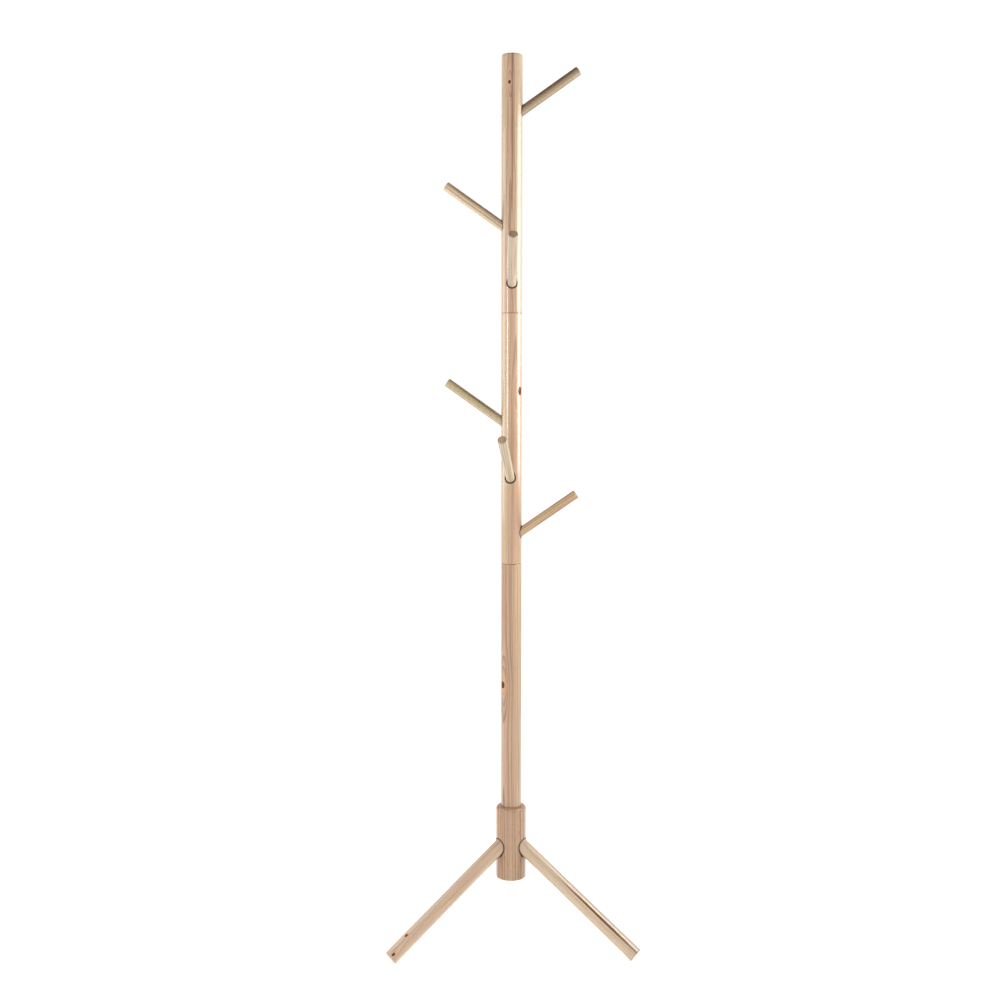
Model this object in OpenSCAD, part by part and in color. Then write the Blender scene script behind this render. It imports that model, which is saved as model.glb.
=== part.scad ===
// Standing coat rack in clear-lacquered pine.
// A post of three screwed sections stands on a round hub, three legs splay down from the hub,
// and pegs wind down the upper two sections, four to a section and a quarter turn apart.
// The origin is on the post's axis at floor level. +Z is up and the front faces -Y. Millimetres.

/* [Post] */
// Height of the hub's top face, where the post starts, above the floor
hub_top = 265; // [255:1:280]
// Length of each of the three post sections
section_length = 495; // [489:1:520]
// Diameter of the post
post_d = 41; // [38:0.5:43]
// Rounding of the post's free top edge
top_round = 2; // [0.5:0.5:4]
// Edge break on both sides of the seam between the upper and middle sections
upper_seam_ease = 0.6; // [0.4:0.1:1.5]
// Edge break on both sides of the seam between the middle and lower sections
lower_seam_ease = 1.8; // [0.4:0.1:2.5]
// Edge break at the post's foot, where it meets the hub
foot_ease = 0.8; // [0.4:0.1:1.5]
// Direction of the upper section's highest peg, counter-clockwise from +X
upper_turn = -1; // [-15:0.5:15]
// Direction of the middle section's highest peg, set by where its screw pulls tight
middle_turn = 81; // [70:0.5:100]

/* [Pegs] */
// Diameter of a peg
peg_d = 18; // [14:0.5:20]
// Angle of a peg above the horizontal
peg_slope = 35; // [30:1:40]
// Length of a peg outside the post, along its axis
peg_free_length = 132.5; // [90:0.5:180]
// Drop from the upper section's top to where its highest peg enters
upper_first_drop = 104.5; // [90:0.5:110]
// Drop from the middle section's top to where its highest peg enters
middle_first_drop = 100.5; // [90:0.5:110]
// Drop from each peg to the next one on the same section
peg_pitch = 110; // [95:1:112]
// Clearance all round a peg in its counterbored hole
peg_hole_gap = 1.25; // [0.75:0.05:1.5]
// Rounding of a peg's end edges
peg_end_ease = 1.4; // [0.3:0.1:2]

/* [Hub] */
// Diameter of the hub
hub_d = 61; // [57:0.5:64]
// Height of the hub
hub_height = 148; // [135:1:152]
// Rounding of the hub's top edge
hub_top_round = 7; // [2:0.5:7]
// Rounding of the hub's bottom edge
hub_bottom_round = 2; // [0.5:0.5:5]

/* [Legs] */
// Diameter of a leg
leg_d = 28; // [26:0.5:29]
// Angle of a leg below the horizontal
leg_slope = 35; // [33:0.5:38]
// Drop from the hub's top to the point where the three leg axes meet
leg_meet_drop = 62.5; // [60:0.5:65]
// Clearance all round a leg in its counterbored hole
leg_hole_gap = 1; // [0.5:0.1:1.5]
// Rounding of a leg's end edges
leg_end_ease = 1; // [0.5:0.1:1.5]
// Height of the rim that is sanded off a leg's end to make its foot
foot_flat = 1.2; // [1:0.1:2]

/* [Screws] */
// Thread diameter of the hanger bolts in the pegs
peg_bolt_d = 6; // [5:1:6]
// Thread diameter of the hanger bolts in the post sections and the legs
frame_bolt_d = 8; // [6:1:8]
// Length of a bolt's wood thread in a peg
peg_bolt_grip = 25; // [20:1:40]
// Length of a bolt's wood thread in a post section or leg
frame_bolt_grip = 35; // [25:1:35]
// Length of the threaded inserts for pegs and legs
short_insert_length = 12; // [10:0.5:12]
// Length of the threaded inserts in the post and the hub's top
long_insert_length = 24; // [18:1:26]

/* [Hidden] */
$fn = 64;

post_r = post_d / 2;
peg_r = peg_d / 2;
leg_r = leg_d / 2;
hub_r = hub_d / 2;

quarter_turn = 90;

// Distance from the post's axis, along a peg, to the flat floor of its hole
peg_seat = 13;
// Distance from the hub's axis, along a leg, to the flat floor of its hole
leg_seat = 19;

// Distance from the post's axis, along a peg, to its tip
peg_reach = post_r / cos(peg_slope) + peg_free_length;
// Height at which the three leg axes meet
leg_meet = hub_top - leg_meet_drop;
// Distance from the hub's axis, along a leg, to its square-cut end, so that its foot lies on the floor
leg_reach = (leg_meet - leg_r * cos(leg_slope) + foot_flat) / sin(leg_slope);

// Thread sizes in proportion to the bolt
thread_depth = 0.09;
machine_pitch = 0.16;
wood_pitch = 0.36;
// Clearance between a bolt's thread and its insert, and round hardware set in wood
thread_gap = 0.08;
wood_gap = 0.05;
// Plain shank between a bolt's two threads, and how far a hole runs past what it holds
shank = 3;
drill_room = 1;
// The bolt stops short of the insert's inner end, and the insert sits below its hole's floor
bolt_short = 1;
insert_recess = 0.3;
// Insert's wall between the bolt's thread and the crest of its own outer thread
insert_wall = 1.5;
insert_pitch = 2.5;
insert_thread_depth = 0.6;
// Edge break on the hidden inner ends of pegs and legs
inner_ease = 0.4;
// Overshoot of a cutting shape
past = 1;

// Name and direction of each leg
LEGS = [
    ["front_left", -150],
    ["front_right", -30],
    ["rear", 90],
];

// Each post section's name, the place of the insert that its bolt screws into, the height of its foot,
// its bottom and top edge breaks, and the direction and drop of its highest peg. The lower one has no pegs.
UPPER = [
    "upper", "post_middle", hub_top + 2 * section_length,
    upper_seam_ease, top_round, upper_turn, upper_first_drop,
];
MIDDLE = [
    "middle", "post_lower", hub_top + section_length,
    lower_seam_ease, upper_seam_ease, middle_turn, middle_first_drop,
];
LOWER = ["lower", "hub_top", hub_top, foot_ease, lower_seam_ease];
SECTIONS = [UPPER, MIDDLE, LOWER];

function insert_place(section) = section[1];
function foot_height(section) = section[2];
function bottom_ease(section) = section[3];
function top_ease(section) = section[4];
function first_peg_turn(section) = section[5];
function first_peg_drop(section) = section[6];

// Name of each peg, the section it is in, its place on that section, counted from the top,
// and how far its hole is drilled off the even quarter turns
PEGS = [
    ["upper_right", UPPER, 0, 0],
    ["upper_rear", UPPER, 1, 0],
    ["upper_left", UPPER, 2, 0],
    ["upper_front", UPPER, 3, 0],
    ["middle_rear", MIDDLE, 0, 1.5],
    ["middle_left", MIDDLE, 1, 0],
    ["middle_front", MIDDLE, 2, -1],
    ["middle_right", MIDDLE, 3, 0],
];

// Places on the frame

// Height where the axis of the peg at this place on a section meets the post's axis
function peg_height(section, place) =
    foot_height(section) + section_length - first_peg_drop(section) - place * peg_pitch
    - post_r * tan(peg_slope);
function peg_direction(section, place, off_turn) =
    first_peg_turn(section) + place * quarter_turn + off_turn;

// Turns +Z to point along this direction, counter-clockwise from +X, and this angle above the horizontal
module aim(direction, slope) {
    rotate([0, 90 - slope, direction]) children();
}

module on_peg_axis(peg) {
    translate([0, 0, peg_height(peg[1], peg[2])])
        aim(peg_direction(peg[1], peg[2], peg[3]), peg_slope) children();
}

module on_leg_axis(leg) {
    translate([0, 0, leg_meet]) aim(leg[1], -leg_slope) children();
}

// Turned wood

// What a rounded edge leaves off: the corner outside a quarter circle, in the plane of the profile
module corner_waste(ease) {
    difference() {
        square(ease + past);
        circle(ease);
    }
}

// A round bar standing on the XY plane with both end edges rounded
module turned_bar(radius, length, bottom_ease, top_ease) {
    rotate_extrude()
        difference() {
            square([radius, length]);
            translate([radius - top_ease, length - top_ease]) corner_waste(top_ease);
            translate([radius - bottom_ease, bottom_ease]) mirror([0, 1]) corner_waste(bottom_ease);
        }
}

// Screws, each drawn with its wood thread up and its machine thread down from the joint's plane.
// Their threads are closed rings, one to each turn.

// Points up one side of a stack of thread rings, from this height, as [radius, height]
function ring_points(crest, root, pitch, count, from) =
    [for (ring = [0 : count - 1]) each [
        [root, from + ring * pitch],
        [crest, from + (ring + 0.5) * pitch],
    ]];

// Outline of a machine thread from its inner end up to the joint's plane, grown outwards by gap
function machine_points(bolt_d, length, gap) =
    let (
        pitch = bolt_d * machine_pitch,
        count = floor(length / pitch),
        crest = bolt_d / 2 + gap,
        root = crest - bolt_d * thread_depth
    )
    ring_points(crest, root, pitch, count, -count * pitch);

module hanger_bolt(bolt_d, insert_length, grip) {
    root = bolt_d / 2 - bolt_d * thread_depth;
    pitch = bolt_d * wood_pitch;
    count = floor((grip - shank) / pitch) - 1;
    machine = machine_points(bolt_d, insert_length - bolt_short, 0);
    color("silver")
        rotate_extrude()
            polygon(concat(
                [[0, machine[0][1]]],
                machine,
                [[root, 0], [root, shank]],
                ring_points(bolt_d / 2, root, pitch, count, shank),
                [[root, shank + count * pitch], [0, grip]]
            ));
}

// The hole that a bolt's wood thread takes up, measured over the thread
module bolt_hole(bolt_d, grip) {
    translate([0, 0, -past])
        cylinder(r = bolt_d / 2 + wood_gap, h = grip + drill_room + past);
}

function insert_r(bolt_d) = bolt_d / 2 + insert_wall;

module threaded_insert(bolt_d, length) {
    crest = insert_r(bolt_d);
    root = crest - insert_thread_depth;
    height = length - insert_recess;
    count = floor(height / insert_pitch);
    bore = machine_points(bolt_d, length + 2 * drill_room, thread_gap);
    color("goldenrod")
        rotate_extrude()
            difference() {
                polygon(concat(
                    [[0, -length]],
                    ring_points(crest, root, insert_pitch, count, -length),
                    [[root, -length + count * insert_pitch], [root, -insert_recess], [0, -insert_recess]]
                ));
                polygon(concat([[0, bore[0][1]]], bore, [[bore[0][0], 0], [0, 0]]));
            }
}

// The hole for an insert, down from the joint's plane
module insert_hole(bolt_d, length) {
    translate([0, 0, -length - drill_room])
        cylinder(r = insert_r(bolt_d) + wood_gap, h = length + drill_room + past);
}

// Post

module peg_hole(peg) {
    on_peg_axis(peg) {
        translate([0, 0, peg_seat]) {
            cylinder(r = peg_r + peg_hole_gap, h = post_d);
            insert_hole(peg_bolt_d, short_insert_length);
        }
    }
}

module post_section(section) {
    color("burlywood")
        difference() {
            translate([0, 0, foot_height(section)]) {
                difference() {
                    turned_bar(post_r, section_length, bottom_ease(section), top_ease(section));
                    bolt_hole(frame_bolt_d, frame_bolt_grip);
                    if (section != UPPER)
                        translate([0, 0, section_length]) insert_hole(frame_bolt_d, long_insert_length);
                }
            }
            for (peg = PEGS)
                if (peg[1] == section) peg_hole(peg);
        }
}

// Hub

module hub() {
    color("tan")
        difference() {
            translate([0, 0, hub_top - hub_height])
                turned_bar(hub_r, hub_height, hub_bottom_round, hub_top_round);
            translate([0, 0, hub_top]) insert_hole(frame_bolt_d, long_insert_length);
            for (leg = LEGS)
                on_leg_axis(leg)
                    translate([0, 0, leg_seat]) {
                        cylinder(r = leg_r + leg_hole_gap, h = hub_d);
                        insert_hole(frame_bolt_d, short_insert_length);
                    }
        }
}

// Legs and pegs

module leg(leg) {
    floor_size = 3 * leg_reach;
    color("wheat")
        difference() {
            on_leg_axis(leg)
                translate([0, 0, leg_seat])
                    difference() {
                        turned_bar(leg_r, leg_reach - leg_seat, inner_ease, leg_end_ease);
                        bolt_hole(frame_bolt_d, frame_bolt_grip);
                    }
            translate([-floor_size / 2, -floor_size / 2, -leg_d]) cube([floor_size, floor_size, leg_d]);
        }
}

module peg(peg) {
    color("palegoldenrod")
        on_peg_axis(peg)
            translate([0, 0, peg_seat])
                difference() {
                    turned_bar(peg_r, peg_reach - peg_seat, inner_ease, peg_end_ease);
                    bolt_hole(peg_bolt_d, peg_bolt_grip);
                }
}

for (section = SECTIONS) {
    post_section(section);
    translate([0, 0, foot_height(section)])
            hanger_bolt(frame_bolt_d, long_insert_length, frame_bolt_grip);
    translate([0, 0, foot_height(section)]) threaded_insert(frame_bolt_d, long_insert_length);
}
hub();
for (leg = LEGS) {
    leg(leg);
    on_leg_axis(leg) translate([0, 0, leg_seat])
            hanger_bolt(frame_bolt_d, short_insert_length, frame_bolt_grip);
    on_leg_axis(leg) translate([0, 0, leg_seat]) threaded_insert(frame_bolt_d, short_insert_length);
}
for (peg = PEGS) {
    peg(peg);
    on_peg_axis(peg) translate([0, 0, peg_seat])
            hanger_bolt(peg_bolt_d, short_insert_length, peg_bolt_grip);
    on_peg_axis(peg) translate([0, 0, peg_seat]) threaded_insert(peg_bolt_d, short_insert_length);
}
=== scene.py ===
"""The standing coat rack's looks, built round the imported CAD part, in metres and in the part's own frame.

Every wooden piece is cut from a log of its own: its colour comes from growth rings round a pith that runs
beside the piece, so the sides show long grain, the ends show rings, and branches pass through as knots.
"""

import math
from collections import namedtuple

import bpy
import numpy as np
from mathutils import Matrix, Vector


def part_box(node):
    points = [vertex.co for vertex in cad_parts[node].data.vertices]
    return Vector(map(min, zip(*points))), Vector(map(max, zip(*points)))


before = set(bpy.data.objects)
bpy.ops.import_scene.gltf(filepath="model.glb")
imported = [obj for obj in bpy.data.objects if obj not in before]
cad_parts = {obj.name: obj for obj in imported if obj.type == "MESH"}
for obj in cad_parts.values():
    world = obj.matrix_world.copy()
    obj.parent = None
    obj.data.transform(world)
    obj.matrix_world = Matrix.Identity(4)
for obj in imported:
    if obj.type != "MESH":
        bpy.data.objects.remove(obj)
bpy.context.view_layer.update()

MM = 0.001
UP = Vector((0, 0, 1))


# ---------------------------------------------------------------- camera

CAMERA_DISTANCE = 2.358
CAMERA_HEIGHT = 1.074
# The camera stands a little left of the front and looks a little right of the post
CAMERA_AROUND = math.radians(-2.12)
CAMERA_HEADING = math.radians(-1.585)
CAMERA_PITCH = math.radians(-4.56)
CAMERA_ROLL = math.radians(-0.04)
SENSOR_MM = 36.0
LENS_MM = 42.68


def around(angle, distance, height):
    """A point at this angle round the post, where 0 is the camera's side and angles grow to its right."""
    turn = CAMERA_AROUND + angle
    return Vector((distance * math.sin(turn), -distance * math.cos(turn), height))


def make_camera():
    data = bpy.data.cameras.new("camera")
    data.sensor_width = SENSOR_MM
    data.lens = LENS_MM
    camera = bpy.data.objects.new("camera", data)
    camera.location = around(0, CAMERA_DISTANCE, CAMERA_HEIGHT)
    camera.rotation_euler = (math.pi / 2 + CAMERA_PITCH, CAMERA_ROLL, CAMERA_HEADING)
    bpy.context.scene.collection.objects.link(camera)
    bpy.context.scene.camera = camera


# ---------------------------------------------------------------- node trees


def srgb(red, green, blue):
    """Linear colour of an sRGB colour given from 0 to 255."""
    linear = [((c / 255 + 0.055) / 1.055) ** 2.4 if c > 10 else c / 255 / 12.92 for c in (red, green, blue)]
    return (*linear, 1.0)


class Tree:
    """Short calls that add nodes to one tree and join them up. A value is a number, a tuple or a socket."""

    def __init__(self, tree):
        self.nodes = tree.nodes
        self.links = tree.links

    def feed(self, socket, value):
        if isinstance(value, bpy.types.NodeSocket):
            self.links.new(value, socket)
        else:
            socket.default_value = value

    def node(self, kind, **settings):
        made = self.nodes.new("ShaderNode" + kind)
        for name, value in settings.items():
            setattr(made, name, value)
        return made

    def math(self, operation, a, b=0.0, c=0.0):
        made = self.node("Math", operation=operation)
        for socket, value in zip(made.inputs, (a, b, c)):
            self.feed(socket, value)
        return made.outputs[0]

    def add(self, a, b):
        return self.math("ADD", a, b)

    def subtract(self, a, b):
        return self.math("SUBTRACT", a, b)

    def times(self, a, b):
        return self.math("MULTIPLY", a, b)

    def vector(self, operation, a, b=(0, 0, 0)):
        made = self.node("VectorMath", operation=operation)
        self.feed(made.inputs[0], a)
        self.feed(made.inputs[1], b)
        return made.outputs["Value" if operation in ("LENGTH", "DOT_PRODUCT") else "Vector"]

    def noise(self, place, detail=2.0):
        """Smooth noise from about 0.2 to 0.8, one bump per unit of place."""
        made = self.node("TexNoise", noise_dimensions="3D")
        self.feed(made.inputs["Vector"], place)
        self.feed(made.inputs["Scale"], 1.0)
        self.feed(made.inputs["Detail"], detail)
        return made.outputs["Fac"]

    def line_noise(self, value, detail=1.0):
        made = self.node("TexNoise", noise_dimensions="1D")
        self.feed(made.inputs["W"], value)
        self.feed(made.inputs["Scale"], 1.0)
        self.feed(made.inputs["Detail"], detail)
        return made.outputs["Fac"]

    def step(self, value, low, high, to_low=0.0, to_high=1.0):
        """Goes smoothly from to_low to to_high as value goes from low to high."""
        made = self.node("MapRange", interpolation_type="SMOOTHSTEP")
        for socket, number in zip(made.inputs, (value, low, high, to_low, to_high)):
            self.feed(socket, number)
        return made.outputs[0]

    def bell(self, value, width):
        """1 where value is 0, falling to 0.37 at this width on both sides."""
        scaled = self.math("DIVIDE", value, width)
        return self.math("EXPONENT", self.times(self.times(scaled, scaled), -1.0))

    def ramp(self, value, stops):
        made = self.node("ValToRGB")
        marks = made.color_ramp.elements
        while len(marks) < len(stops):
            marks.new(0.5)
        for mark, (place, colour) in zip(marks, stops):
            mark.position = place
            mark.color = colour if isinstance(colour, tuple) else (colour, colour, colour, 1.0)
        self.feed(made.inputs[0], value)
        return made.outputs["Color"]

    def mix(self, share, a, b, blend="MIX"):
        made = self.node("Mix", data_type="RGBA", blend_type=blend)
        self.feed(made.inputs[0], share)
        self.feed(made.inputs[6], a)
        self.feed(made.inputs[7], b)
        return made.outputs[2]

    def bump(self, height, distance):
        made = self.node("Bump")
        self.feed(made.inputs["Height"], height)
        self.feed(made.inputs["Distance"], distance)
        return made.outputs["Normal"]


def new_material(name):
    """A material, its Tree and its Principled shader."""
    material = bpy.data.materials.new(name)
    material.use_nodes = True
    return material, Tree(material.node_tree), material.node_tree.nodes["Principled BSDF"]


# ---------------------------------------------------------------- wood

# A branch, resin streak or stained band in the wood. It is centred this far along the piece and at this angle
# round it, in degrees, and is this wide and long. Strength goes from 0 to 1.
Mark = namedtuple("Mark", "along angle width length strength")

# One piece's log. The pith stands at this distance and angle from the piece's axis. Ring is the width of a
# year. The wood is heartwood within the heart radius. Depth and flecks are how strongly the growth lines and
# the small brown flecks show, from 0 to 1.
Log = namedtuple(
    "Log",
    "seed pith pith_angle ring sapwood heartwood latewood heart_radius depth knots streaks flecks",
    defaults=((), (), 0.2),
)

FIBRE_SIZE = Vector((1 / 0.5, 1 / 0.5, 1 / 40)) / MM
STREAK_SIZE = Vector((1 / 2.2, 1 / 2.2, 1 / 150)) / MM
CLOUD_SIZE = Vector((1 / 14, 1 / 14, 1 / 220)) / MM
BEND_SIZE = Vector((1 / 22, 1 / 22, 1 / 160)) / MM
FLECK_SIZE = Vector((1 / 1.5, 1 / 1.5, 1 / 14)) / MM
SEED_STEP = Vector((0.37, 0.71, 1.13))
# How high the noise of the small brown flecks has to rise for a fleck to begin, and to be at its darkest
FLECK_LEVELS = (0.62, 0.74)
# How dark the growth line is through one year, from the pale early wood to the late wood and its sharp end
SEASONS = [(0.0, 0.0), (0.3, 0.06), (0.62, 0.35), (0.9, 1.0), (0.97, 0.95), (1.0, 0.0)]
# How much fibres, streaks and clouds lighten and darken the wood
FIBRE_SHADE = 0.07
STREAK_SHADE = 0.13
CLOUD_SHADE = 0.06
# How far the clouds push the border of the heartwood about, and how soft that border is
HEART_WANDER = 10 * MM
HEART_BLUR = 6 * MM
# How far the rings wander, how much the radius grows up the piece, and how ring widths change with the years
RING_WANDER = 5 * MM
TREE_TAPER = 0.008
YEAR_SCALE = 1 / (9 * MM)
YEAR_CHANGE = 1.6
# How far on in the noise each year's strength is from the last one's, and how weak a growth line can be
YEAR_STEP = 0.73
WEAKEST_YEAR = 0.45
# Bands of a few years that are pinker or yellower than their neighbours
TONE_SCALE = 1 / (7 * MM)


def direction_across(angle):
    return Vector((math.cos(math.radians(angle)), math.sin(math.radians(angle)), 0))


def holder_of(node):
    """The wooden node that a leg or a peg is set into, or None."""
    kind, _, place = node.partition("_")
    if kind == "leg":
        return "hub"
    if kind == "peg":
        return "post_" + place.partition("_")[0]
    return None


class Piece:
    """A wooden node's own axes: X and Y across it, Z along it, from its first end."""

    def __init__(self, node):
        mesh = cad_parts[node].data
        self.name = node
        if node.startswith(("post", "hub")):
            along = UP
            across = Vector((1, 0, 0))
        else:
            along = self.long_direction(mesh)
            across = UP.cross(along).normalized()
        self.turn = Matrix((across, along.cross(across), along)).transposed()
        points = np.array([v.co for v in mesh.vertices]) @ np.array(self.turn)
        low, high = points.min(0), points.max(0)
        self.length = high[2] - low[2]
        self.radius = (high[0] - low[0]) / 2
        self.start = self.turn @ Vector(((low[0] + high[0]) / 2, (low[1] + high[1]) / 2, low[2]))
        self.holder = holder_of(node)

    @staticmethod
    def long_direction(mesh):
        """The long axis of a rod, pointing away from the post."""
        centres = np.array([p.center for p in mesh.polygons])
        areas = np.array([p.area for p in mesh.polygons])
        middle = np.average(centres, axis=0, weights=areas)
        away = centres - middle
        spread = (away * areas[:, None]).T @ away
        axis = Vector(np.linalg.eigh(spread)[1][:, 2])
        outwards = Vector((middle[0], middle[1], 0))
        return axis if axis.dot(outwards) > 0 else -axis


def mark_distance(tree, place, piece, mark, stretch=1.0):
    """Distance from a mark's line through the wood, as if the mark was round, and 0 to 1 for its side."""
    outwards = direction_across(mark.angle)
    squeeze = (1, 1, mark.width / mark.length / stretch)
    centre = outwards * piece.radius + Vector((0, 0, mark.along * squeeze[2]))
    squeezed = tree.vector("MULTIPLY", place, squeeze)
    offset = tree.vector("SUBTRACT", squeezed, centre)
    distance = tree.vector("LENGTH", tree.vector("CROSS_PRODUCT", offset, outwards))
    side = tree.step(tree.vector("DOT_PRODUCT", place, outwards), 0.0, 0.5 * piece.radius)
    return distance, side


def knot(tree, place, piece, mark, colour, fibres):
    """Draws a branch's dark rim, red-brown heart and the warm wood round it."""
    distance, side = mark_distance(tree, place, piece, mark)
    reach = mark.width / 2
    ragged = tree.add(distance, tree.times(tree.subtract(fibres, 0.5), 0.5 * reach))
    inside = tree.times(tree.step(ragged, 1.1 * reach, 0.85 * reach), side)
    halo = tree.times(tree.step(distance, 3.2 * reach, 0.9 * reach), side)
    rings = tree.math("SINE", tree.times(distance, 2 * math.pi / KNOT_RING))
    heart = tree.mix(tree.step(rings, -1, 1), KNOT_DARK, KNOT_RED)
    rim = tree.step(distance, 0.6 * reach, 1.0 * reach)
    heart = tree.mix(rim, heart, KNOT_RIM)
    colour = tree.mix(tree.times(halo, 0.5 * mark.strength), colour, KNOT_HALO)
    return tree.mix(tree.times(inside, mark.strength), colour, heart)


def streak(tree, place, piece, mark, colour, fibres):
    """Draws a long resin streak or a stained band that frays along the fibres."""
    distance, side = mark_distance(tree, place, piece, mark)
    reach = mark.width / 2
    frayed = tree.add(distance, tree.times(tree.subtract(fibres, 0.5), 1.4 * reach))
    inside = tree.times(tree.step(frayed, 1.2 * reach, 0.5 * reach), side)
    return tree.mix(tree.times(inside, mark.strength), colour, STREAK_BROWN)


def painted_hole_shade(tree, everywhere, piece, colour, fibres):
    """Browns the bore of every hole that a rod is set into, and a thin line of the wood round its mouth:
    painted shade in the gap round the rod.
    """
    for rod in [Piece(node) for node in LOGS if holder_of(node) == piece.name]:
        axis = rod.turn.col[2]
        offset = tree.vector("SUBTRACT", everywhere, rod.start)
        distance = tree.vector("LENGTH", tree.vector("CROSS_PRODUCT", offset, axis))
        distance = tree.add(distance, tree.times(tree.subtract(fibres, 0.5), HOLE_SHADE_FRAY))
        outwards = tree.step(tree.vector("DOT_PRODUCT", offset, axis), 0.0, 1 * MM)
        mouth = rod.radius + HOLE_GAP
        share = tree.times(tree.step(distance, mouth, mouth + HOLE_SHADE_RIM, 1.0, 0.0), outwards)
        colour = tree.mix(share, colour, HOLE_SHADE_BROWN)
    return colour


def painted_root_shade(tree, everywhere, piece, colour):
    """Browns the part of a rod that sits in its hole, as painted shade."""
    low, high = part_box(piece.holder)
    radius = (high[0] - low[0]) / 2
    distance = tree.vector("LENGTH", tree.vector("MULTIPLY", everywhere, (1, 1, 0)))
    share = tree.step(distance, radius + ROOT_SHADE_REACH, radius - ROOT_SHADE_REACH, 0.0, ROOT_SHADE_SHARE)
    return tree.mix(share, colour, HOLE_SHADE_BROWN)


def painted_edge_shade(tree, height, end, piece, colour, fibres):
    """Browns a thin line round the sides at both ends: painted shade in the seams between pieces and along
    the rounded edges.
    """
    nearest = tree.math("MINIMUM", height, tree.subtract(piece.length, height))
    nearest = tree.add(nearest, tree.times(tree.subtract(fibres, 0.5), END_SHADE_FRAY))
    shade_share = END_SHADE_SHARES.get(piece.name, END_SHADE_SHARE)
    share = tree.times(tree.step(nearest, 0.2 * MM, END_SHADE_LINE, shade_share, 0.0), tree.subtract(1.0, end))
    return tree.mix(share, colour, END_SHADE_BROWN)


# Painted shade in the holes round the rods, and on the part of each rod inside its hole
HOLE_GAP = 1.4 * MM
HOLE_SHADE_RIM = 1.9 * MM
HOLE_SHADE_FRAY = 0.6 * MM
HOLE_SHADE_BROWN = srgb(58, 24, 8)
ROOT_SHADE_REACH = 1.2 * MM
ROOT_SHADE_SHARE = 0.75
# Painted shade along both ends of each piece's sides: its width, fraying and strength, and its colour below
END_SHADE_LINE = 1.6 * MM
END_SHADE_FRAY = 0.6 * MM
END_SHADE_SHARE = 0.8
# The painted shade is strongest at the ends of the upper section and weakest at those of the lower one
END_SHADE_SHARES = {"post_upper": 1.0, "post_lower": 0.5}
END_SHADE_BROWN = srgb(138, 88, 66)

KNOT_RING = 0.9 * MM
KNOT_DARK = srgb(72, 32, 18)
KNOT_RED = srgb(118, 54, 28)
KNOT_RIM = srgb(44, 20, 12)
KNOT_HALO = srgb(208, 150, 104)
STREAK_BROWN = srgb(112, 70, 44)
END_GRAIN = srgb(232, 214, 190)
END_GRAIN_SHARE = 0.5

# Wood this dark, and this light, takes none and all of the lacquer's gloss
LACQUER_LEVELS = (0.03, 0.16)
BRIGHTNESS_PARTS = (0.3, 0.6, 0.1)
COAT_ROUGHNESS = 0.14
COAT_IOR = 1.5
GRAIN_RELIEF = 0.03 * MM


def piece_places(tree, piece):
    """Places in the part's frame, and the same places along the piece's own axes."""
    everywhere = tree.node("TexCoord").outputs["Object"]
    mapping = tree.node("Mapping", vector_type="TEXTURE")
    tree.feed(mapping.inputs["Vector"], everywhere)
    tree.feed(mapping.inputs["Location"], piece.start)
    tree.feed(mapping.inputs["Rotation"], piece.turn.to_euler())
    return everywhere, mapping.outputs[0]


def pith_distance(tree, place, height, piece, log, bends):
    """Distance from the pith, with the rings pushed aside where a branch grew through them."""
    pith = direction_across(log.pith_angle) * log.pith
    across = tree.vector("MULTIPLY", tree.vector("SUBTRACT", place, pith), (1, 1, 0))
    radius = tree.vector("LENGTH", across)
    radius = tree.add(radius, tree.times(tree.subtract(bends, 0.5), RING_WANDER))
    radius = tree.add(radius, tree.times(height, TREE_TAPER))
    for mark in log.knots:
        distance, side = mark_distance(tree, place, piece, mark, stretch=2.5)
        push = tree.times(tree.bell(distance, 1.3 * mark.width), side)
        radius = tree.subtract(radius, tree.times(push, 0.9 * mark.width))
    return radius


def growth_lines(tree, radius, log):
    """How dark the late wood is here, from 0 to 1, with a strength of its own for each year."""
    years = tree.math("DIVIDE", radius, log.ring)
    years = tree.add(years, tree.times(tree.line_noise(tree.times(radius, YEAR_SCALE)), YEAR_CHANGE))
    late = tree.ramp(tree.math("FRACT", years), SEASONS)
    year_noise = tree.line_noise(tree.times(tree.math("FLOOR", years), YEAR_STEP), 0)
    return tree.times(late, tree.step(year_noise, 0.25, 0.75, WEAKEST_YEAR, 1.0))


def plain_wood(tree, radius, late, log, fibres, streaks, clouds, specks):
    """The wood before knots and stains: heartwood, sapwood, growth lines, shading and flecks."""
    ragged = tree.add(radius, tree.times(clouds, HEART_WANDER))
    sap = tree.step(ragged, log.heart_radius, log.heart_radius + HEART_BLUR)
    tone_noise = tree.line_noise(tree.add(tree.times(radius, TONE_SCALE), log.seed))
    tone = tree.step(tone_noise, 0.35, 0.65, -0.5, 0.5)
    colour = tree.mix(tree.math("ADD", sap, tone), log.heartwood, log.sapwood)
    colour = tree.mix(tree.times(late, log.depth), colour, log.latewood)
    shade = tree.step(fibres, 0.25, 0.75, -FIBRE_SHADE, FIBRE_SHADE)
    shade = tree.add(shade, tree.step(streaks, 0.3, 0.7, -STREAK_SHADE, STREAK_SHADE))
    shade = tree.add(shade, tree.step(clouds, 0.3, 0.7, -CLOUD_SHADE, CLOUD_SHADE))
    colour = tree.mix(1.0, colour, tree.ramp(tree.add(shade, 0.5), [(0.0, 0.5), (1.0, 1.0)]), "MULTIPLY")
    flecks = tree.step(specks, *FLECK_LEVELS)
    return tree.mix(tree.times(flecks, log.flecks), colour, STREAK_BROWN)


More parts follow.
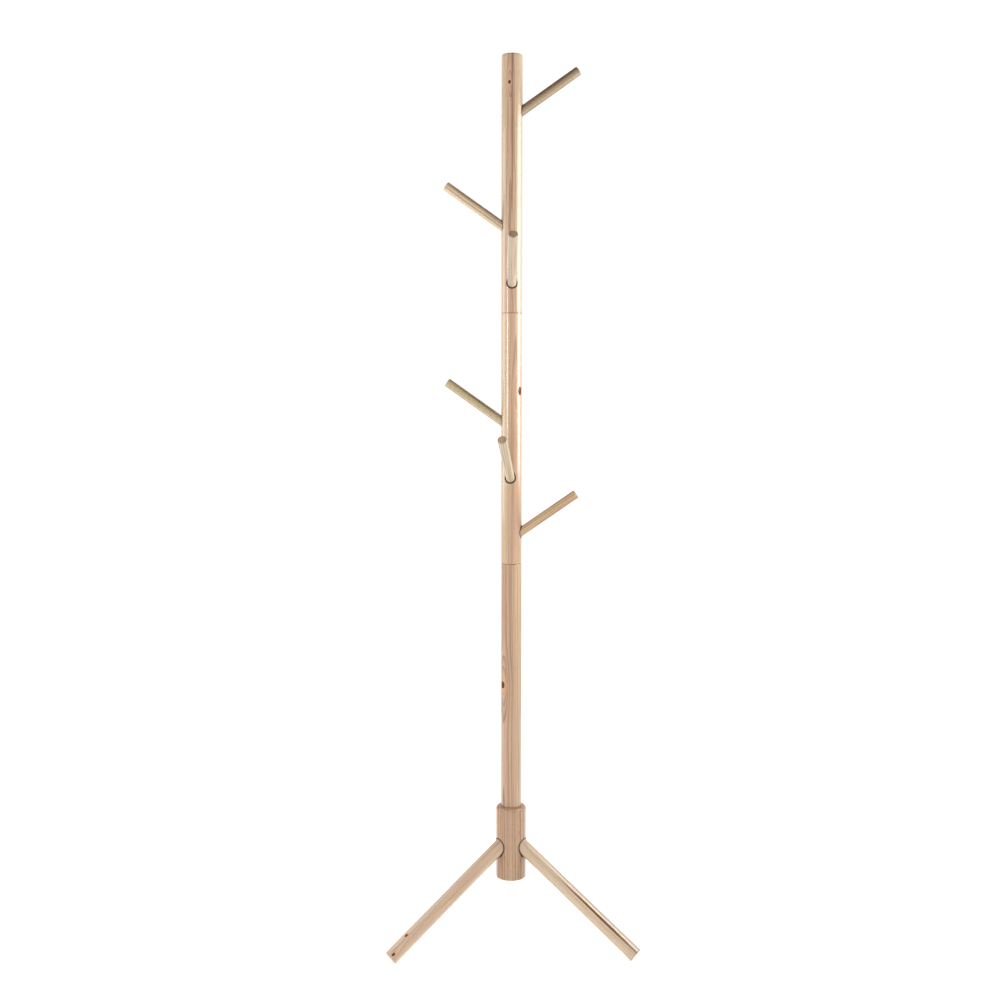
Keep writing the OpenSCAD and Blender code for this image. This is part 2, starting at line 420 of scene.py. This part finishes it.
def lacquer_wood(tree, shader, colour, late, fibres, end):
    """Feeds the shader. Dark knots and raw bores take little or none of the lacquer's gloss."""
    lightness = tree.vector("DOT_PRODUCT", colour, BRIGHTNESS_PARTS)
    lacquer = tree.step(lightness, *LACQUER_LEVELS)
    roughness = tree.add(tree.step(late, 0, 1, 0.52, 0.42), tree.step(fibres, 0.2, 0.8, -0.05, 0.05))
    roughness = tree.add(roughness, tree.times(end, 0.2))
    roughness = tree.add(roughness, tree.step(lacquer, 0.0, 1.0, 0.5, 0.0))
    relief = tree.add(tree.times(late, 0.6), tree.times(fibres, 0.5))
    tree.feed(shader.inputs["Base Color"], colour)
    tree.feed(shader.inputs["Roughness"], roughness)
    tree.feed(shader.inputs["Normal"], tree.bump(relief, GRAIN_RELIEF))
    tree.feed(shader.inputs["Coat Weight"], lacquer)
    shader.inputs["Coat Roughness"].default_value = COAT_ROUGHNESS
    shader.inputs["Coat IOR"].default_value = COAT_IOR


def pine(piece, log):
    """Clear-lacquered pine for one piece."""
    material, tree, shader = new_material(piece.name + "_pine")
    everywhere, place = piece_places(tree, piece)
    height = tree.vector("DOT_PRODUCT", place, UP)
    seeded = tree.vector("ADD", place, SEED_STEP * log.seed)

    def texture(size, detail=2.0):
        return tree.noise(tree.vector("MULTIPLY", seeded, size), detail)

    fibres = texture(FIBRE_SIZE, 3)
    streaks = texture(STREAK_SIZE, 3)
    clouds = texture(CLOUD_SIZE, 2)
    radius = pith_distance(tree, place, height, piece, log, texture(BEND_SIZE))
    late = growth_lines(tree, radius, log)
    colour = plain_wood(tree, radius, late, log, fibres, streaks, clouds, texture(FLECK_SIZE, 1))
    for mark in log.streaks:
        colour = streak(tree, place, piece, mark, colour, streaks)
    for mark in log.knots:
        colour = knot(tree, place, piece, mark, colour, fibres)

    # End grain drinks more lacquer, so it is darker and duller
    normal = tree.node("NewGeometry").outputs["Normal"]
    facing_end = tree.math("ABSOLUTE", tree.vector("DOT_PRODUCT", normal, piece.turn.col[2]))
    end = tree.step(facing_end, 0.35, 0.9)
    # Painted shade in the holes that rods are set into
    colour = painted_hole_shade(tree, everywhere, piece, colour, fibres)
    # Painted shade in the seams between pieces and along the rounded ends
    colour = painted_edge_shade(tree, height, end, piece, colour, fibres)
    # Painted shade where the rod sits in its hole
    if piece.holder:
        colour = painted_root_shade(tree, everywhere, piece, colour)
    end_grain = tree.mix(1.0, colour, END_GRAIN, "MULTIPLY")
    colour = tree.mix(tree.times(end, END_GRAIN_SHARE), colour, end_grain)
    lacquer_wood(tree, shader, colour, late, fibres, end)
    return material


POST_SAP = srgb(218, 187, 148)
POST_HEART = srgb(211, 168, 135)
UPPER_HEART = srgb(215, 175, 142)
MIDDLE_SAP = srgb(221, 190, 150)
MIDDLE_HEART = srgb(216, 174, 140)
POST_LATE = srgb(160, 116, 82)
HUB_SAP = srgb(200, 165, 131)
HUB_HEART = srgb(211, 155, 103)
HUB_LATE = srgb(138, 92, 58)
# The legs' tones are paler than the posts', partly as painted light from above
LEG_SAP = srgb(225, 194, 163)
LEG_HEART = srgb(215, 178, 145)
PALE_LEG_SAP = srgb(226, 200, 167)
PALE_LEG_HEART = srgb(218, 184, 147)
LEG_LATE = srgb(168, 122, 84)


def pegs_log(number, tone, pith_angle, streak_angle):
    """Pegs come from dowel stock, so each has a log by its number, a tone of its own and a brown streak.
    Tone, pith and streak also paint light and shade on the peg's upper and lower sides.
    """
    return Log(
        seed=20 + number, pith=30 * MM + 4 * MM * (number % 3), pith_angle=pith_angle, ring=4.4 * MM,
        sapwood=tone, heartwood=darker(tone, 0.84), latewood=darker(tone, 0.36), heart_radius=34 * MM,
        depth=0.85, streaks=[Mark(0.085, streak_angle, 3.5 * MM, 120 * MM, 0.55)], flecks=0.1,
    )


def darker(colour, share):
    return (*[share * c for c in colour[:3]], 1.0)


# Tone of each peg and directions of its pith and its streak. These also paint light and shade: the upper
# right peg's darker tone is partly painted shade, the piths above the upper right, upper left and middle left
# pegs put darker heartwood on their upper sides, partly as painted shade, the pith below the middle right peg
# puts paler sapwood on its upper side, partly as painted light, and each streak is partly a brown streak in
# the wood and partly painted shade along an upper or lower edge
PEGS = {
    "peg_upper_right": (srgb(176, 148, 112), 80, 150),
    "peg_upper_rear": (srgb(200, 176, 140), 20, 60),
    "peg_upper_left": (srgb(234, 203, 165), 100, 35),
    "peg_upper_front": (srgb(220, 195, 164), 170, -60),
    "peg_middle_rear": (srgb(206, 178, 136), -30, 100),
    "peg_middle_left": (srgb(219, 196, 149), 70, 40),
    "peg_middle_front": (srgb(226, 200, 163), 10, -110),
    "peg_middle_right": (srgb(223, 184, 135), -80, 225),
}
LOGS = {
    "post_upper": Log(
        1, 52 * MM, -100, 3.6 * MM, POST_SAP, UPPER_HEART, POST_LATE, 40 * MM, 0.75,
        knots=[Mark(0.440, -106.5, 5 * MM, 8 * MM, 1.0), Mark(0.474, -12, 5 * MM, 9 * MM, 0.6)],
        streaks=[Mark(0.36, -91, 5 * MM, 420 * MM, 0.6)],
    ),
    "post_middle": Log(
        2, 64 * MM, -70, 3.8 * MM, MIDDLE_SAP, MIDDLE_HEART, POST_LATE, 52 * MM, 0.7,
        knots=[Mark(0.343, -38, 10 * MM, 18 * MM, 1.0)],
    ),
    "post_lower": Log(
        3, 60 * MM, -138, 4.0 * MM, POST_SAP, POST_HEART, POST_LATE, 58 * MM, 1.0,
        knots=[Mark(0.2504, -148.5, 11 * MM, 15 * MM, 1.0)],
    ),
    "hub": Log(
        4, 70 * MM, 186, 5.0 * MM, HUB_SAP, HUB_HEART, HUB_LATE, 58 * MM, 0.9, flecks=0.7,
    ),
    # The piths of the two front legs lie below them, so the paler sapwood is on their upper sides, partly as
    # painted light from above
    "leg_front_left": Log(
        5, 50 * MM, 200, 2.8 * MM, LEG_SAP, LEG_HEART, LEG_LATE, 50 * MM, 0.5,
        knots=[Mark(0.3084, 39, 5 * MM, 8 * MM, 1.0), Mark(0.2668, 75, 5 * MM, 8 * MM, 1.0)],
        streaks=[Mark(0.225, 124.5, 3 * MM, 14 * MM, 0.8)],
    ),
    "leg_front_right": Log(
        6, 55 * MM, -60, 2.8 * MM, PALE_LEG_SAP, PALE_LEG_HEART, LEG_LATE, 60 * MM, 0.4,
        streaks=[Mark(0.21, 129, 6 * MM, 220 * MM, 1.0)],
    ),
    "leg_rear": Log(
        7, 48 * MM, 120, 3.0 * MM, LEG_SAP, LEG_HEART, LEG_LATE, 44 * MM, 0.6,
        knots=[Mark(0.16, 60, 7 * MM, 11 * MM, 0.9)],
    ),
}
for number, (node, (tone, pith_angle, streak_angle)) in enumerate(PEGS.items()):
    LOGS[node] = pegs_log(number, tone, pith_angle, streak_angle)


# ---------------------------------------------------------------- metal


def metal(name, light, dark, roughness):
    """Plated or turned metal with faint clouding and machining lines."""
    material, tree, shader = new_material(name)
    place = tree.node("TexCoord").outputs["Object"]
    clouds = tree.noise(tree.vector("MULTIPLY", place, Vector((1, 1, 1)) / (2.5 * MM)), 3)
    lines = tree.noise(tree.vector("MULTIPLY", place, Vector((1, 1, 6)) / (0.6 * MM)), 2)
    colour = tree.mix(tree.step(clouds, 0.3, 0.7), dark, light)
    tree.feed(shader.inputs["Base Color"], colour)
    tree.feed(shader.inputs["Roughness"], tree.step(clouds, 0.25, 0.75, roughness - 0.06, roughness + 0.1))
    tree.feed(shader.inputs["Normal"], tree.bump(lines, 0.01 * MM))
    shader.inputs["Metallic"].default_value = 1.0
    return material


def finish_nodes():
    for node, log in LOGS.items():
        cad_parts[node].data.materials[0] = pine(Piece(node), log)
    steel = metal("bright_zinc", srgb(205, 208, 212), srgb(170, 174, 180), 0.3)
    brass = metal("turned_brass", srgb(222, 182, 108), srgb(188, 145, 80), 0.25)
    for node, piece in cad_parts.items():
        if node.startswith("hanger_bolt"):
            piece.data.materials[0] = steel
        elif node.startswith("threaded_insert"):
            piece.data.materials[0] = brass


# ---------------------------------------------------------------- studio

FLOOR_RADIUS = 40.0
# The floor's own light, near the rack and far from it, and how far out it changes
FLOOR_GLOW = (0.42, 0.92)
FLOOR_GLOW_REACH = (0.6, 2.6)
TENT_RADIUS = 1.7
TENT_HEIGHT = 2.2
TENT_BRIGHTNESS = 0.9
TENT_CLOTH = srgb(30, 30, 30)
# Brightness by the sine of the height above the horizon
WORLD_BRIGHTNESS = [(0.0, 1.0), (0.36, 1.0), (0.5, 0.05), (1.0, 0.04)]
WORLD_STRENGTH = 1.05


def make_floor():
    """A pale studio floor that gives off a little light of its own, as a lit white sweep does."""
    material, tree, shader = new_material("studio_floor")
    place = tree.node("TexCoord").outputs["Object"]
    blotches = tree.noise(tree.vector("MULTIPLY", place, (3, 3, 3)), 3)
    tree.feed(shader.inputs["Base Color"], tree.mix(blotches, srgb(236, 236, 235), srgb(244, 244, 243)))
    shader.inputs["Roughness"].default_value = 0.9
    shader.inputs["Specular IOR Level"].default_value = 0.2
    shader.inputs["Emission Color"].default_value = (1, 1, 1, 1)
    away = tree.vector("LENGTH", place)
    tree.feed(shader.inputs["Emission Strength"], tree.step(away, *FLOOR_GLOW_REACH, *FLOOR_GLOW))
    bpy.ops.mesh.primitive_circle_add(vertices=96, radius=FLOOR_RADIUS, fill_type="NGON")
    floor = bpy.context.object
    floor.name = "floor"
    floor.data.materials.append(material)


def make_world():
    """White round the horizon and dim overhead, like a studio with lit walls and a dark ceiling."""
    world = bpy.data.worlds.new("studio")
    bpy.context.scene.world = world
    world.use_nodes = True
    tree = Tree(world.node_tree)
    direction = tree.node("TexCoord").outputs["Generated"]
    height = tree.vector("DOT_PRODUCT", direction, UP)
    background = world.node_tree.nodes["Background"]
    tree.feed(background.inputs["Color"], tree.ramp(height, WORLD_BRIGHTNESS))
    background.inputs["Strength"].default_value = WORLD_STRENGTH


def make_tent():
    """A white light tent round the rack, open at the top and seen only by the light."""
    material, tree, shader = new_material("tent_cloth")
    place = tree.node("TexCoord").outputs["Object"]
    folds = tree.noise(tree.vector("MULTIPLY", place, (4, 4, 0.5)), 2)
    shader.inputs["Base Color"].default_value = TENT_CLOTH
    shader.inputs["Specular IOR Level"].default_value = 0.0
    tree.feed(shader.inputs["Emission Color"], tree.mix(folds, srgb(246, 246, 246), srgb(255, 255, 255)))
    shader.inputs["Emission Strength"].default_value = TENT_BRIGHTNESS
    bpy.ops.mesh.primitive_cylinder_add(
        vertices=96, radius=TENT_RADIUS, depth=TENT_HEIGHT, end_fill_type="NOTHING",
        location=(0, 0, TENT_HEIGHT / 2),
    )
    tent = bpy.context.object
    tent.name = "tent"
    tent.data.materials.append(material)
    tent.visible_camera = False


# Name, angle from the camera's side in degrees, distance, height, width, tallness and power in watts
SOFTBOXES = [
    ("key_right", 87, 1.05, 1.38, 0.7, 1.02, 18),
    ("fill_left", -48, 1.5, 1.27, 0.3, 0.6, 7),
    ("rim_left", -96, 1.05, 1.3, 0.8, 1.1, 6),
]


def softbox(name, angle, distance, height, width, tall, power):
    """A rectangle of light that faces the post."""
    data = bpy.data.lights.new(name, "AREA")
    data.shape = "RECTANGLE"
    data.size = width
    data.size_y = tall
    data.energy = power
    light = bpy.data.objects.new(name, data)
    light.location = around(math.radians(angle), distance, height)
    towards = Vector((0, 0, height)) - light.location
    light.rotation_euler = towards.to_track_quat("-Z", "Y").to_euler()
    light.visible_camera = False
    bpy.context.scene.collection.objects.link(light)


make_camera()
make_world()
make_floor()
make_tent()
for box in SOFTBOXES:
    softbox(*box)
finish_nodes()
bpy.context.scene.view_settings.view_transform = "Standard"
